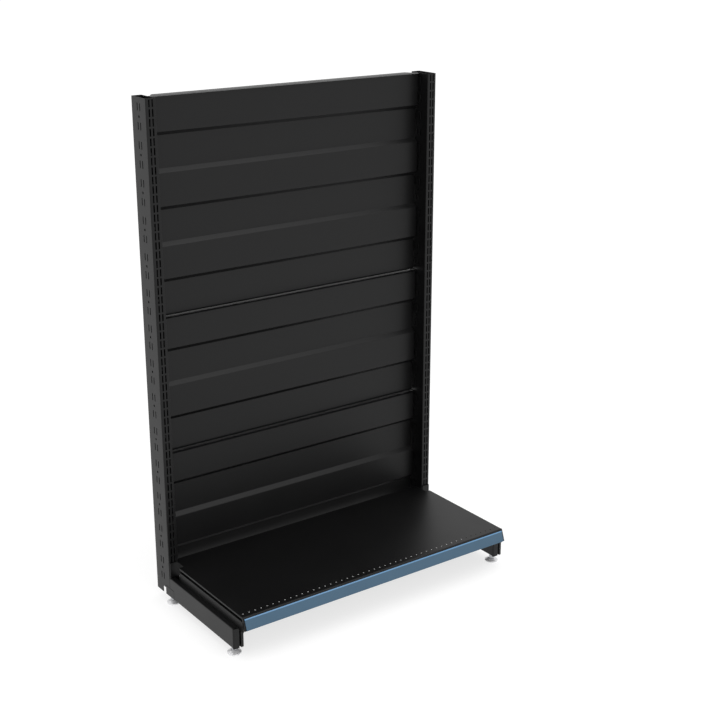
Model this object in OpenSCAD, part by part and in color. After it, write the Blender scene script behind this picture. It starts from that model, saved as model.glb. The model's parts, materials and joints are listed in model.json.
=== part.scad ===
// Single-sided gondola shelving bay: two slotted uprights on L-shaped base legs,
// three hooked back panels, a lift-off base shelf with a ticket strip, and four levelling feet.
// X runs along the shelf, Y from the customer side to the back, Z up.
// The origin is on the floor, under the middle of the overall depth and width.

/* [Bay] */
// Distance between the centre lines of the two uprights
bay_pitch = 925; // [600:1:1300]
// Height of the uprights' lower ends above the floor
base_clear = 26; // [24:1:32]

/* [Uprights] */
// Length of an upright
upright_h = 1430; // [1130:50:1730]
// Width of an upright, along the bay
upright_w = 30; // [28:1:40]
// Depth of an upright, front to back
upright_d = 80; // [70:1:110]
// Wall of the upright's tube
upright_t = 2; // [1.5:0.1:2.4]
// Outer corner radius of the upright's tube
upright_r = 2.5; // [2.5:0.1:4]
// Pitch of the bracket slots; a section of a back panel is four of them high
slot_pitch = 25; // [24:0.5:30]
// Height of a slot
slot_h = 20; // [16:0.5:21]
// Width of a slot
slot_w = 4; // [3.2:0.1:5]
// Distance between the two columns of bracket slots
slot_cols = 9.6; // [8:0.2:12]
// Distance between the two columns of side slots
side_cols = 14; // [12:0.5:18]
// Diameter of the round hole between two pairs of side slots
side_hole = 7; // [5:0.5:8]

/* [Back panels] */
// Number of sections in the top panel
top_sections = 6; // [4:2:6]
// Number of sections in the middle panel; the bottom panel takes the rest
middle_sections = 4; // [2:2:4]
// Set-back of a panel's front plane behind the face of the uprights
panel_inset = 43; // [36:1:50]
// Depth of the folds across a panel
fold_d = 11; // [6:1:14]
// Sheet thickness of the panels
panel_t = 1; // [0.8:0.1:1.5]
// Depth of a panel's return flanges behind its rearmost plane
panel_return = 12; // [8:1:16]
// Gap between two panels, one above the other
panel_gap = 4; // [2:0.5:6]
// Gap between a panel's end and the upright
panel_side_gap = 3.5; // [2.5:0.5:5]

/* [Base legs] */
// Height of a base leg
leg_h = 61; // [50:1:75]
// Reach of a base leg in front of the upright
leg_reach = 357; // [290:1:362]
// Sheet thickness of a base leg
leg_t = 2; // [1.5:0.1:2.5]
// Flange width of the wide channel of a base leg
leg_wide = 17; // [15:0.5:18]
// Flange width of the narrow channel of a base leg
leg_narrow = 8; // [6:0.5:8.5]
// Thickness of the hook plate at the rear of a base leg
hook_t = 4; // [3:0.5:5]

/* [Base shelf] */
// Height of the base shelf, from its seat on the legs to its top
shelf_h = 39; // [34:1:45]
// Reach of the base shelf's flat top in front of the uprights
shelf_reach = 380; // [372:1:460]
// Sheet thickness of the base shelf
shelf_t = 1; // [0.8:0.1:1.5]
// Length of the sloping front lip
lip_h = 34; // [30:1:38]
// Slope of the front lip from the vertical
lip_a = 20; // [10:1:30]
// Pitch of the accessory holes along the front edge
hole_pitch = 19.05; // [18:0.05:25]
// Diameter of an accessory hole
hole_d = 4; // [3:0.1:5]
// Distance of the accessory holes from the front edge
hole_inset = 19.5; // [15:0.5:25]

/* [Ticket strip] */
// Thickness of the ticket strip
strip_t = 2.4; // [1.6:0.1:3]
// Distance of the strip's ends from the ends of the lip
strip_inset = 4.5; // [2:0.5:10]

/* [Levelling feet] */
// Diameter of a foot's disc
foot_d = 40; // [34:1:44]
// Thread diameter of a foot's spindle
thread_d = 10; // [8:1:12]
// Distance of a front foot from the front end of its leg
front_foot_inset = 24; // [22:1:40]
// Distance of a rear foot behind the face of the upright
rear_foot_back = 10; // [9:0.5:12]
// Radial clearance of the spindle in its thread and in its disc
foot_play = 0.06; // [0.02:0.01:0.1]

/* [Hidden] */

steel_black = [0.05, 0.05, 0.055];
chrome_grey = [0.8, 0.8, 0.82];
strip_blue = [0.1, 0.22, 0.33];
$fn = 48;
eps = 0.01;           // overshoot of a cut past the face that it opens
fit = 0.5;            // side clearance of a piece set in a notch
bore_fn = 24;         // facets of a small hole as drawn
corner_fn = 32;       // facets of a rounded corner as drawn

// Overall depth, and the plane of the uprights' front faces in the part's own frame
strip_rise = 0.5;
strip_foot = lip_h - strip_rise;
reach = shelf_reach + strip_foot * sin(lip_a) + strip_t * cos(lip_a);
face_y = (upright_d + reach) / 2 - upright_d;
top_z = base_clear + upright_h;
leg_top = base_clear + leg_h;
shelf_top = leg_top + shelf_h;
inner_x = (bay_pitch - upright_w) / 2;
side_mid = upright_d / 2;

// Slots: the last bracket slot is the last that ends above the rear foot's bracket
bracket_h = 28;
bracket_front = 22;
bracket_back = 26;
drain_w = 15;
drain_h = 20;
slot_count = floor((upright_h - bracket_h - slot_h / 2) / slot_pitch);
section_h = 4 * slot_pitch;
section_count = floor(upright_h / section_h);
function slot_z(k) = top_z - slot_pitch * (k + 0.5);
function side_z(k, part) = top_z - section_h * k - slot_pitch * part;

// The hook plate's two rows of hooks sit in the slots beside the base shelf's flange
hook_row_low = floor((top_z - leg_top) / slot_pitch - 0.5);
hook_rows = [hook_row_low - 1, hook_row_low];
hook_play = 0.4;
hook_neck = 12;
hook_grip = 7;
hook_drop = 8;
hook_plate_w = upright_w - 2 * leg_t - hook_play / 2;
hook_plate_top = shelf_top + 8;

// Panels: heights measured down from the top of the uprights
panel_drop = 1;
panel_half = inner_x - panel_side_gap;
bottom_sections = section_count - top_sections - middle_sections;
middle_top = top_z - top_sections * section_h;
bottom_top = middle_top - middle_sections * section_h;
top_return = upright_d - panel_inset - 2;
low_return = fold_d + panel_return;
return_mitre = 0.6;
lug_t = 1.5;
lug_h = 22;
lug_front = side_mid - side_cols / 2 - 4;
prong_neck = 12;
prong_grip = 5;
prong_drop = 7;
prong_t = slot_w - 2 * hook_play - 1;

// Base shelf
shelf_half = bay_pitch / 2 + upright_w / 2 - leg_wide;
notch_depth = 28;
tongue_back = lug_front - 1;
tongue_half = inner_x - 3;
rear_fold = 20;
edge_fold = 6;
groove_h = 8;
groove_d = 8;
end_foot = 11;
end_t = 1.5;
end_play = 0.2;
end_back = notch_depth + 1;
bend = 4;
lip_return = 10;
lip_clear = 12;
front_tab = 5;
front_tab_gap = 2;
hole_half = floor((shelf_half - groove_d - hole_d) / hole_pitch + 0.5);

// Stiffeners under the base shelf
hat_w = 40;
hat_h = 20;
hat_t = 1;
hat_slope = 4;
hat_rim = 10;
hat_rear_y = -0.32 * shelf_reach;
hat_front_y = -0.68 * shelf_reach;

// Ticket strip
strip_gap = 0.1;
strip_groove = 0.7;
strip_start = 1;
strip_rim = 3;

// Levelling feet
hub_d = thread_d + 5;
hub_gap = 0.3;
disc_edge = 4;
disc_h = 10;
pin_d = thread_d - 2;
pin_bottom = 3;
chamfer = 1;
nut_af = thread_d + 7;
nut_h = 8;
plate_t = 3;
nut_plate_len = 40;
spindle_hole = thread_d + 3;
spindle_top = base_clear + leg_h - 16;
front_foot_y = -leg_reach + front_foot_inset;
front_nut_low = base_clear + leg_t + plate_t;
rear_nut_low = base_clear + bracket_h - plate_t - nut_h;

// Right-angled block given by its lowest and highest corners
module block(low, high) {
    translate(low) cube(high - low);
}

// Rounded rectangle about its centre
module rounded_rect(w, d, r) {
    square([w - 2 * r, d], center = true);
    square([w, d - 2 * r], center = true);
    for (sx = [-1, 1], sy = [-1, 1])
        translate([sx * (w / 2 - r), sy * (d / 2 - r)]) circle(r, $fn = corner_fn);
}

// Places its children at one side's upright: x = 0 on its centre line, y = 0 on its front face
module at_side(side) {
    translate([side * bay_pitch / 2, face_y, 0]) children();
}

// Slotted rectangular tube
module upright(side) {
    color(steel_black)
    at_side(side)
    difference() {
        translate([0, side_mid, base_clear])
            linear_extrude(upright_h)
            difference() {
                rounded_rect(upright_w, upright_d, upright_r);
                square([upright_w - 2 * upright_t, upright_d - 2 * upright_t], center = true);
            }
        // bracket slots through the front wall
        for (k = [0 : slot_count - 1], sx = [-1, 1])
            translate([sx * slot_cols / 2 - slot_w / 2, -1, slot_z(k) - slot_h / 2])
                cube([slot_w, upright_t + 2, slot_h]);
        // panel slots through both side walls
        for (k = [0 : section_count - 1], part = [1, 3], sy = [-1, 1])
            translate([-upright_w, side_mid + sy * side_cols / 2 - slot_w / 2, 0])
                translate([0, 0, side_z(k, part) - slot_h / 2])
                cube([2 * upright_w, slot_w, slot_h]);
        // linking holes between the pairs
        for (k = [0 : section_count - 1])
            translate([-upright_w, side_mid, side_z(k, 2)])
                rotate([0, 90, 0]) cylinder(d = side_hole, h = 2 * upright_w);
        // lower front corner, taken by the rear foot's bracket
        block([-upright_w, -1, base_clear - 1],
              [upright_w, bracket_back + fit, base_clear + bracket_h + fit]);
        // drain notch behind it
        block([-upright_w, bracket_back, base_clear - 1],
              [upright_w, bracket_back + drain_w, base_clear + drain_h]);
    }
}

// Front outline of a folded panel, from its top down: forward and set-back sections in turn
function fold_y(i) = panel_inset + (i % 2) * fold_d;
function panel_outline(n, drop) = [
    for (i = [0 : n - 1], end = [0, 1])
        [fold_y(i),
         end == 0 ? (i == 0 ? -drop : -i * section_h - fold_d / 2)
                  : (i == n - 1 ? -n * section_h : -(i + 1) * section_h + fold_d / 2)]
];
function reversed(points) = [for (i = [len(points) - 1 : -1 : 0]) points[i]];

// Draws a Y-Z outline along X, centred
module along_x(length) {
    rotate([90, 0, 90]) translate([0, 0, -length / 2]) linear_extrude(length) children();
}

// Interval between two numbers, lowest first
function span(a, b) = [min(a, b), max(a, b)];

// One lug with its two prongs, which hang in a pair of side slots
module panel_lug(side) {
    wall = side * (inner_x + upright_t);
    tip = wall + side * prong_grip;
    low_z = hook_play - slot_h / 2;
    plate = span(side * panel_half, side * (panel_half + lug_t));
    neck = span(side * panel_half, tip);
    hook = span(wall + side * hook_play, tip);
    block([plate[0], lug_front, -lug_h / 2],
          [plate[1], panel_inset + fold_d + panel_return, lug_h / 2]);
    for (sy = [-1, 1])
        translate([0, side_mid + sy * side_cols / 2 - prong_t / 2, low_z]) {
            block([neck[0], 0, 0], [neck[1], prong_t, prong_neck]);
            block([hook[0], 0, -prong_drop], [hook[1], prong_t, eps]);
        }
}

// Folded sheet with return flanges, closed ends and lugs
module back_panel(n, top, drop, top_return) {
    front = panel_outline(n, drop);
    bottom = -n * section_h;
    back = panel_inset + fold_d + panel_return;
    rear = [for (p = reversed(front)) p + [panel_t, 0]];
    cut = top_return * return_mitre;
    color(steel_black)
    translate([0, face_y, top]) {
        along_x(2 * panel_half) polygon(concat(front, rear));
        // lower return flange
        block([-panel_half, fold_y(n - 1), bottom], [panel_half, back, bottom + panel_t]);
        // upper return flange, with its ends cut back
        translate([0, 0, -drop - panel_t]) linear_extrude(panel_t)
            polygon([[-panel_half, panel_inset], [panel_half, panel_inset],
                     [panel_half - cut, panel_inset + top_return],
                     [cut - panel_half, panel_inset + top_return]]);
        // end flanges
        for (sx = [-1, 1])
            translate([sx * (panel_half - panel_t / 2), 0, 0])
                along_x(panel_t) polygon(concat(front, [[back, bottom], [back, -drop]]));
        for (k = [0 : n - 1], sx = [-1, 1])
            translate([0, 0, -k * section_h - slot_pitch]) panel_lug(sx);
    }
}
module back_panel_top() { back_panel(top_sections, top_z, panel_drop, top_return); }
module back_panel_middle() { back_panel(middle_sections, middle_top, panel_gap, low_return); }
module back_panel_bottom() { back_panel(bottom_sections, bottom_top, panel_gap, low_return); }

// Channel lying along the leg: web on the side where dir points, closed at its front end
module leg_channel(dir, flange) {
    outer = dir * upright_w / 2;
    web = span(outer, outer - dir * leg_t);
    wide = span(outer, outer - dir * flange);
    difference() {
        union() {
            block([web[0], -leg_reach, base_clear], [web[1], 0, leg_top]);
            block([wide[0], -leg_reach, base_clear], [wide[1], -hook_t, base_clear + leg_t]);
            block([wide[0], -leg_reach, leg_top - leg_t], [wide[1], -hook_t, leg_top]);
            block([wide[0], -leg_reach, base_clear], [wide[1], -leg_reach + leg_t, leg_top]);
        }
        // hole for the front foot's spindle
        translate([0, front_foot_y, base_clear - 1]) cylinder(d = spindle_hole, h = leg_t + 2);
        // lower rear corner, taken by the rear foot's bracket
        block([-upright_w, -bracket_front - fit, base_clear - 1],
              [upright_w, 1, base_clear + bracket_h + fit]);
    }
}
module base_leg(side) {
    color(steel_black) at_side(side) leg_channel(-1, leg_wide);
}
module leg_closer(side) {
    color(steel_black) at_side(side) leg_channel(1, leg_narrow);
}

// Plate welded between the leg's channels, with hooks that hang in the bracket slots
module leg_hook(side) {
    hook_w = slot_w - 2 * hook_play;
    plate_low = base_clear + bracket_h + fit;
    color(steel_black)
    at_side(side) {
        block([-hook_plate_w / 2, -hook_t, plate_low], [hook_plate_w / 2, 0, hook_plate_top]);
        for (k = hook_rows, sx = [-1, 1])
            translate([sx * slot_cols / 2 - hook_w / 2, 0, slot_z(k) - slot_h / 2 + hook_play]) {
                translate([0, -eps, 0]) cube([hook_w, upright_t + hook_grip, hook_neck]);
                translate([0, upright_t + hook_play, -hook_drop])
                    cube([hook_w, hook_grip - hook_play, hook_drop + eps]);
            }
    }
}

// Inverted U of plate under the junction of upright and leg, drilled for the rear foot's thread
module rear_foot_bracket(side) {
    bracket_top = base_clear + bracket_h;
    color(steel_black)
    at_side(side)
    difference() {
        block([-upright_w / 2, -bracket_front, base_clear], [upright_w / 2, bracket_back, bracket_top]);
        block([-upright_w / 2 + leg_t, -bracket_front - 1, base_clear - 1],
              [upright_w / 2 - leg_t, bracket_back + 1, bracket_top - plate_t]);
        translate([0, rear_foot_back, 0]) cylinder(r = thread_d / 2 + foot_play, h = 2 * bracket_top);
    }
}

// Plate across both channels of a leg, drilled for the front foot's thread
module front_nut_plate(side) {
    half = upright_w / 2 - leg_t;
    low = base_clear + leg_t;
    color(steel_black)
    at_side(side)
    difference() {
        block([-half, front_foot_y - nut_plate_len / 2, low],
              [half, front_foot_y + nut_plate_len / 2, low + plate_t]);
        translate([0, front_foot_y, 0]) cylinder(r = thread_d / 2 + foot_play, h = 2 * leg_top);
    }
}

// Hexagon nut welded under or on its plate
module foot_nut(side, y, low) {
    color(chrome_grey)
    at_side(side)
    translate([0, y, low])
    difference() {
        cylinder(d = nut_af / cos(30), h = nut_h, $fn = 6);
        translate([0, 0, -1]) cylinder(r = thread_d / 2 + foot_play, h = nut_h + 2);
    }
}

// Threaded spindle with a round hub and a lower pin that turns in the disc
module foot_spindle(side, y) {
    color(chrome_grey)
    at_side(side)
    translate([0, y, 0])
    rotate_extrude()
        polygon([[0, pin_bottom + hub_gap], [pin_d / 2, pin_bottom + hub_gap],
                 [pin_d / 2, disc_h + hub_gap], [hub_d / 2, disc_h + hub_gap],
                 [hub_d / 2, base_clear - hub_gap - chamfer],
                 [hub_d / 2 - chamfer, base_clear - hub_gap],
                 [thread_d / 2, base_clear - hub_gap], [thread_d / 2, spindle_top - chamfer],
                 [thread_d / 2 - chamfer, spindle_top], [0, spindle_top]]);
}

// Foot disc: a flat rim that rises in a cone to a socket for the spindle's pin
module foot_disc(side, y) {
    color(chrome_grey)
    at_side(side)
    translate([0, y, 0])
    rotate_extrude()
        polygon([[0, 0], [foot_d / 2 - chamfer, 0], [foot_d / 2, chamfer],
                 [foot_d / 2, disc_edge - chamfer], [foot_d / 2 - chamfer, disc_edge],
                 [hub_d / 2 + chamfer, disc_h - chamfer], [hub_d / 2, disc_h],
                 [pin_d / 2 + foot_play, disc_h], [pin_d / 2 + foot_play, pin_bottom],
                 [0, pin_bottom]]);
}

// Y-Z outline of the front lip: a short bend, then the sloping face, one sheet thick
function slope(d, out) = [-shelf_reach - d * sin(lip_a) - out * cos(lip_a),
                          -bend - d * cos(lip_a) + out * sin(lip_a)];
lip_profile = [
    [-shelf_reach + bend, 0], slope(0, 0), slope(lip_h, 0),
    slope(lip_h, -lip_return), slope(lip_h - shelf_t, -lip_return),
    slope(lip_h - shelf_t, -shelf_t), slope(0, -shelf_t), [-shelf_reach + bend, -shelf_t]
];

// Folded top sheet, notched round the uprights, with the sloping lip and the row of holes
module base_shelf() {
    front_y = -shelf_reach + bend;
    color(steel_black)
    translate([0, face_y, shelf_top])
    difference() {
        union() {
            block([-shelf_half, front_y - eps, -shelf_t], [shelf_half, -notch_depth, 0]);
            block([-tongue_half, -notch_depth - eps, -shelf_t], [tongue_half, tongue_back, 0]);
            along_x(2 * shelf_half) polygon(lip_profile);
            // rear edge fold
            block([-tongue_half, tongue_back - shelf_t, -rear_fold], [tongue_half, tongue_back, 0]);
            // end edge folds, turned in under the sheet
            for (sx = [-1, 1]) {
                fold = span(sx * (shelf_half - shelf_t), sx * shelf_half);
                turn = span(sx * (shelf_half - groove_d), sx * shelf_half);
                block([fold[0], front_y - eps, -edge_fold], [fold[1], -notch_depth, 0]);
                block([turn[0], front_y - eps, -edge_fold],
                      [turn[1], -notch_depth, shelf_t - edge_fold]);
            }
        }
        for (k = [0 : hole_half - 1], sx = [-1, 1])
            translate([sx * (k + 0.5) * hole_pitch, -shelf_reach + hole_inset, -shelf_h / 2])
                cylinder(d = hole_d, h = shelf_h, $fn = bore_fn);
    }
}

// Point behind the lip's inner return at a given height below the shelf's top
function lip_back(z) = slope((-bend - z) / cos(lip_a), -shelf_t - end_play)
    + (z < -bend - (lip_h - 2 * shelf_t) * cos(lip_a) ? [lip_clear, 0] : [0, 0]);

// End bracket under the shelf: a set-in web, then a flange that stands on the leg
module shelf_end(side) {
    out_x = side * shelf_half;
    web_x = side * (shelf_half - groove_d - end_t);
    front_y = slope(0, -shelf_t - end_play)[0] + bend;
    flange_top = -edge_fold - groove_h;
    tab_y = -leg_reach - front_tab_gap;
    tab_z = -shelf_h - front_tab;
    web = span(web_x, web_x + side * end_t);
    flange = span(out_x, out_x - side * end_t);
    ledge = span(web_x, out_x);
    seat = span(out_x, out_x - side * end_foot);
    color(steel_black)
    translate([0, face_y, shelf_top]) {
        block([web[0], front_y, flange_top - end_t], [web[1], -end_back, -shelf_t]);
        block([ledge[0], front_y, flange_top - end_t], [ledge[1], -end_back, flange_top]);
        block([seat[0], -leg_reach, -shelf_h], [seat[1], -end_back, end_t - shelf_h]);
        // flange, cut along the lip's slope and carried down in front of the leg
        translate([(flange[0] + flange[1]) / 2, 0, 0])
            along_x(end_t)
            polygon([[-end_back, flange_top], [-end_back, -shelf_h], [tab_y, -shelf_h],
                     [tab_y, tab_z], lip_back(tab_z), lip_back(flange_top)]);
    }
}

// Hat-shaped stiffener across the underside
module shelf_stiffener(y) {
    half = shelf_half - groove_d - end_t - 1;
    edge = hat_w / 2;
    slope_in = edge - hat_slope;
    right = [[edge + hat_rim, -hat_t], [edge + hat_rim, 0], [edge - hat_t, 0],
             [slope_in - hat_t, hat_t - hat_h]];
    left = [for (p = reversed(right)) [-p[0], p[1]]];
    color(steel_black)
    translate([0, face_y + y, shelf_top - shelf_t])
        along_x(2 * half)
        polygon(concat([[-edge, -hat_t], [-slope_in, -hat_h], [slope_in, -hat_h], [edge, -hat_t]],
                       right, left));
}

// Ticket strip clipped over the lip's face, with raised edges on its front
module ticket_strip() {
    groove = strip_t - strip_groove;
    color(strip_blue)
    translate([0, face_y, shelf_top])
        along_x(2 * (shelf_half - strip_inset))
        polygon([slope(strip_start, strip_gap), slope(strip_start, strip_t),
                 slope(strip_start + strip_rim, strip_t), slope(strip_start + strip_rim + 1, groove),
                 slope(strip_foot - strip_rim - 1, groove), slope(strip_foot - strip_rim, strip_t),
                 slope(strip_foot, strip_t), slope(strip_foot, strip_gap)]);
}

module upright_left() { upright(-1); }
module upright_right() { upright(1); }
module base_leg_left() { base_leg(-1); }
module base_leg_right() { base_leg(1); }
module leg_closer_left() { leg_closer(-1); }
module leg_closer_right() { leg_closer(1); }
module leg_hook_left() { leg_hook(-1); }
module leg_hook_right() { leg_hook(1); }
module rear_foot_bracket_left() { rear_foot_bracket(-1); }
module rear_foot_bracket_right() { rear_foot_bracket(1); }
module front_nut_plate_left() { front_nut_plate(-1); }
module front_nut_plate_right() { front_nut_plate(1); }
module foot_nut_front_left() { foot_nut(-1, front_foot_y, front_nut_low); }
module foot_nut_front_right() { foot_nut(1, front_foot_y, front_nut_low); }
module foot_nut_rear_left() { foot_nut(-1, rear_foot_back, rear_nut_low); }
module foot_nut_rear_right() { foot_nut(1, rear_foot_back, rear_nut_low); }
module foot_spindle_front_left() { foot_spindle(-1, front_foot_y); }
module foot_spindle_front_right() { foot_spindle(1, front_foot_y); }
module foot_spindle_rear_left() { foot_spindle(-1, rear_foot_back); }
module foot_spindle_rear_right() { foot_spindle(1, rear_foot_back); }
module foot_disc_front_left() { foot_disc(-1, front_foot_y); }
module foot_disc_front_right() { foot_disc(1, front_foot_y); }
module foot_disc_rear_left() { foot_disc(-1, rear_foot_back); }
module foot_disc_rear_right() { foot_disc(1, rear_foot_back); }
module shelf_end_left() { shelf_end(-1); }
module shelf_end_right() { shelf_end(1); }
module shelf_stiffener_front() { shelf_stiffener(hat_front_y); }
module shelf_stiffener_rear() { shelf_stiffener(hat_rear_y); }

upright_left();
upright_right();
back_panel_top();
back_panel_middle();
back_panel_bottom();
base_leg_left();
base_leg_right();
leg_closer_left();
leg_closer_right();
leg_hook_left();
leg_hook_right();
rear_foot_bracket_left();
rear_foot_bracket_right();
front_nut_plate_left();
front_nut_plate_right();
foot_nut_front_left();
foot_nut_front_right();
foot_nut_rear_left();
foot_nut_rear_right();
foot_spindle_front_left();
foot_spindle_front_right();
foot_spindle_rear_left();
foot_spindle_rear_right();
foot_disc_front_left();
foot_disc_front_right();
foot_disc_rear_left();
foot_disc_rear_right();
base_shelf();
shelf_end_left();
shelf_end_right();
shelf_stiffener_front();
shelf_stiffener_rear();
ticket_strip();
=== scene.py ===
import bpy
import bmesh
import json
import math
from mathutils import Matrix, Vector


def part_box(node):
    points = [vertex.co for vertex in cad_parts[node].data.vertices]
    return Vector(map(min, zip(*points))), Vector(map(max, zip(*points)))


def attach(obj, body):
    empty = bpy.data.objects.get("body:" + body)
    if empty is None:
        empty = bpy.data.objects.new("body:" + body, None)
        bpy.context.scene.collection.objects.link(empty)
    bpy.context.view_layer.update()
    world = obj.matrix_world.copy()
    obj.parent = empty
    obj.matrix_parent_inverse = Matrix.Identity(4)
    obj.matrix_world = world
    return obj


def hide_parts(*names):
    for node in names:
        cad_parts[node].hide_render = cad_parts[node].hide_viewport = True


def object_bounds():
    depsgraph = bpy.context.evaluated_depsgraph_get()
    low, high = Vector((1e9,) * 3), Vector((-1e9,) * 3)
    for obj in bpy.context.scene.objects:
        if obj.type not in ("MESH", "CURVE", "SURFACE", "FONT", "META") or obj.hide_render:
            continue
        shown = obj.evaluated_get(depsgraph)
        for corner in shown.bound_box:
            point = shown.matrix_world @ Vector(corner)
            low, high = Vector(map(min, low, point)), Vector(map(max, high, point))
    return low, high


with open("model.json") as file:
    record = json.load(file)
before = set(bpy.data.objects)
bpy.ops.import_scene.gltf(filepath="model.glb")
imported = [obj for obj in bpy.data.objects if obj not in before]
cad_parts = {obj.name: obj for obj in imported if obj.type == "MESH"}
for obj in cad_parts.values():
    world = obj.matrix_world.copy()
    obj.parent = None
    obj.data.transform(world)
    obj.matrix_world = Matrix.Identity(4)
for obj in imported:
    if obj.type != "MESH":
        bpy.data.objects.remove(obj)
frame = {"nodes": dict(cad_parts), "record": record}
cadBox = [list(corner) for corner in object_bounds()]
mm = 0.001

# every piece is placed from the uprights' front faces and tops and from the shelf's top
leftLow, leftHigh = [Vector(corner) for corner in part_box("upright_left")]
rightLow, rightHigh = [Vector(corner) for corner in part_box("upright_right")]
shelfHigh = Vector(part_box("base_shelf")[1])
faceY = leftLow.y
topZ = leftHigh.z
footZ = leftLow.z
postMiddle = {"left": (leftLow.x + leftHigh.x) / 2, "right": (rightLow.x + rightHigh.x) / 2}
sides = ("left", "right")


# a socket in a node tree, with arithmetic
class Flow:
    def __init__(self, tree, socket=None):
        self.tree = tree
        self.socket = socket

    def add(self, kind, settings=None, inputs=None, output=0):
        node = self.tree.nodes.new(kind)
        for key, value in (settings or {}).items():
            setattr(node, key, value)
        for key, value in (inputs or {}).items():
            if isinstance(value, Flow):
                self.tree.links.new(value.socket, node.inputs[key])
            else:
                node.inputs[key].default_value = value
        return Flow(self.tree, node.outputs[output] if len(node.outputs) else None)

    def maths(self, operation, other=0.0, third=0.0):
        return self.add("ShaderNodeMath", {"operation": operation}, {0: self, 1: other, 2: third})

    def swapped(self, operation, other):
        return self.add("ShaderNodeMath", {"operation": operation}, {0: other, 1: self})

    def __add__(self, other):
        return self.maths("ADD", other)

    def __radd__(self, other):
        return self.maths("ADD", other)

    def __sub__(self, other):
        return self.maths("SUBTRACT", other)

    def __rsub__(self, other):
        return self.swapped("SUBTRACT", other)

    def __mul__(self, other):
        return self.maths("MULTIPLY", other)

    def __rmul__(self, other):
        return self.maths("MULTIPLY", other)

    def __truediv__(self, other):
        return self.maths("DIVIDE", other)

    def __mod__(self, other):
        return self.maths("MODULO", other)

    def __floordiv__(self, other):
        return (self / other).maths("FLOOR")


def finish(name, build):
    material = bpy.data.materials.new(name)
    material.use_nodes = True
    tree = material.node_tree
    tree.nodes.clear()
    start = Flow(tree)
    shader = start.add("ShaderNodeBsdfPrincipled", {}, build(start))
    start.add("ShaderNodeOutputMaterial", {}, {"Surface": shader})
    return material


def places(start, scale=(1, 1, 1)):
    objectPlaces = start.add("ShaderNodeTexCoord", output="Object")
    return start.add("ShaderNodeMapping", {}, {"Vector": objectPlaces, "Scale": scale})


def noise(start, where, scale, detail, roughness):
    return start.add("ShaderNodeTexNoise", {}, {"Vector": where, "Scale": scale,
                                                 "Detail": detail, "Roughness": roughness})


def clamped(value):
    return value.maths("MAXIMUM", 0.0).maths("MINIMUM", 1.0)


def mixed(start, factor, first, second):
    return start.add("ShaderNodeMix", {"data_type": "RGBA"}, {0: factor, 6: first, 7: second}, output=2)


# each noise is its scale, detail and roughness
coatSizes = {"grain": (900.0, 3.0, 0.6), "mottle": (9.0, 4.0, 0.55), "rub": (60.0, 5.0, 0.65),
             "rubLength": (1, 1, 0.12), "rubFrom": 0.62, "rubGain": 5.0, "mottleShare": 0.6,
             "otherShare": 0.25, "dark": (0.0014, 0.0014, 0.0015, 1), "light": (0.0040, 0.0040, 0.0042, 1),
             "smooth": 0.34, "rough": 0.48, "gloss": 0.27, "bump": 0.35, "depth": 0.03 * mm}


def powderCoat(start):
    where = places(start)
    grain = noise(start, where, *coatSizes["grain"])
    mottle = noise(start, where, *coatSizes["mottle"])
    rub = noise(start, places(start, coatSizes["rubLength"]), *coatSizes["rub"])
    wear = (rub - coatSizes["rubFrom"]) * coatSizes["rubGain"]
    shade = mottle * coatSizes["mottleShare"] + (grain + wear.maths("MAXIMUM", 0.0)) * coatSizes["otherShare"]
    spread = coatSizes["rough"] - coatSizes["smooth"]
    bump = start.add("ShaderNodeBump", {}, {"Height": grain, "Strength": coatSizes["bump"],
                                            "Distance": coatSizes["depth"]})
    return {"Base Color": mixed(start, shade.maths("MINIMUM", 1.0), coatSizes["dark"], coatSizes["light"]),
            "Roughness": coatSizes["smooth"] + spread * (grain + mottle) * 0.5,
            "Normal": bump, "Specular IOR Level": coatSizes["gloss"]}


turnedSizes = {"streaks": (26.0 / 6, 4.0, 0.6), "twist": 6.0, "rings": 900.0, "ringDetail": 2.0,
               "contrast": 2.2, "middle": 0.55, "dark": (0.60, 0.60, 0.62, 1), "light": (0.97, 0.97, 0.98, 1),
               "metal": 0.3, "rough": 0.34, "polish": 0.14, "bump": 0.3, "depth": 0.05 * mm}


def turnedChrome(start):
    # the map holds the angle round the axis and the way along the outline
    turn = start.add("ShaderNodeUVMap", {"uv_map": "turned"}, {}, output="UV")
    share = start.add("ShaderNodeSeparateXYZ", {}, {"Vector": turn}, output="X")
    way = start.add("ShaderNodeSeparateXYZ", {}, {"Vector": turn}, output="Y")
    angle = share * (2 * math.pi)
    ring = start.add("ShaderNodeCombineXYZ", {}, {"X": angle.maths("SINE"), "Y": angle.maths("COSINE"),
                                                   "Z": way * turnedSizes["twist"]})
    streak = noise(start, ring, *turnedSizes["streaks"])
    lathe = start.add("ShaderNodeTexNoise", {"noise_dimensions": "1D"},
                      {"W": way, "Scale": turnedSizes["rings"],
                       "Detail": turnedSizes["ringDetail"]})
    contrast = clamped((streak - 0.5) * turnedSizes["contrast"] + turnedSizes["middle"])
    bump = start.add("ShaderNodeBump", {}, {"Height": lathe + streak * 0.5, "Strength": turnedSizes["bump"],
                                            "Distance": turnedSizes["depth"]})
    return {"Base Color": mixed(start, contrast, turnedSizes["dark"], turnedSizes["light"]),
            "Metallic": turnedSizes["metal"],
            "Roughness": turnedSizes["rough"] - contrast * turnedSizes["polish"], "Normal": bump}


zincSizes = {"spangle": 260.0, "cloud": (120.0, 4.0, 0.6), "spangleShare": 0.35,
             "dark": (0.30, 0.31, 0.32, 1), "light": (0.62, 0.63, 0.65, 1), "smooth": 0.26, "spread": 0.2,
             "bump": 0.2, "depth": 0.04 * mm}


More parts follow.
